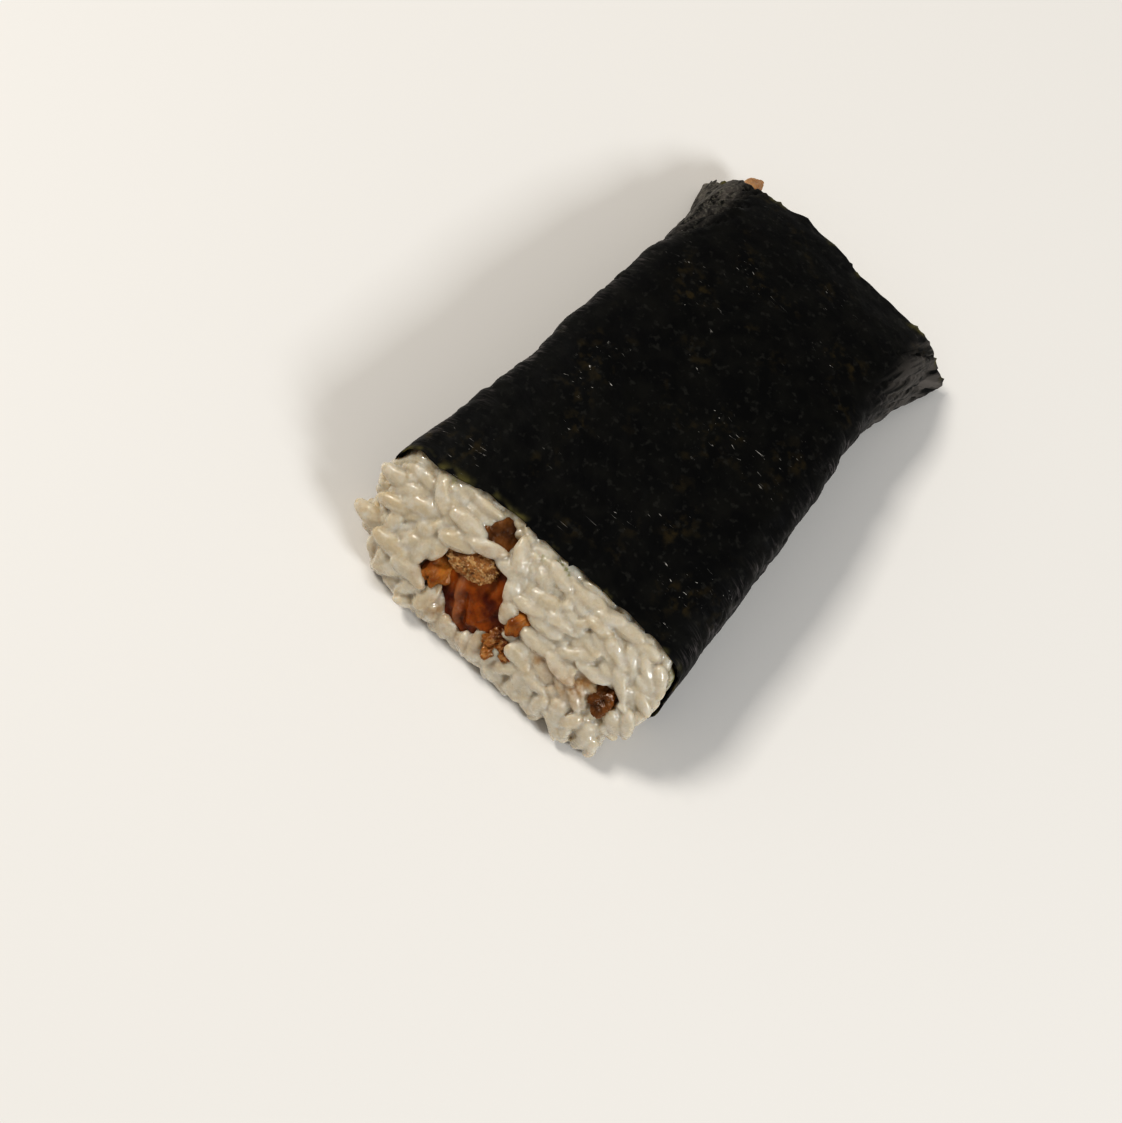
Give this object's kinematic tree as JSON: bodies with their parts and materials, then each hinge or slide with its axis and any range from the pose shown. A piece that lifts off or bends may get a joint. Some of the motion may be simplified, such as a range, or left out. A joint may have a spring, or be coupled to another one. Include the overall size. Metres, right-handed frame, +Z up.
{
  "type": "musubi",
  "caption": "Flat bar of rice with glazed chicken in it, wrapped round in a half sheet of nori; rice and filling swell out of one end.",
  "frame": {"origin": "middle of the underside of the bounding box, on the surface that the musubi lies on", "axes": "+Z up, +Y along the bar from the end where the rice and filling show to the pressed-down far end, +X to the right seen along +Y"},
  "size_m": [0.0748, 0.1304, 0.0269],
  "materials": {
    "nori": "thin black-green seaweed sheet, dry and finely crinkled, with a slight sheen",
    "rice": "moist cooked short-grain rice, warm white, slightly see-through, with small wet glints",
    "chicken_glazed": "chicken in a wet dark orange-brown glaze",
    "chicken_crisp": "golden-brown granular crust under a thin glaze",
    "chicken_pale": "plain tan cooked chicken"
  },
  "bodies": {
    "root": {"nori": "nori", "rice": "rice", "chicken_core": "chicken_glazed", "chicken_crisp": "chicken_crisp", "chicken_crumbs": "chicken_glazed", "chicken_left": "chicken_glazed", "chicken_right": "chicken_glazed", "chicken_edge": "chicken_glazed", "chicken_side": "chicken_glazed", "chicken_far": "chicken_pale"}
  },
  "joints": []
}
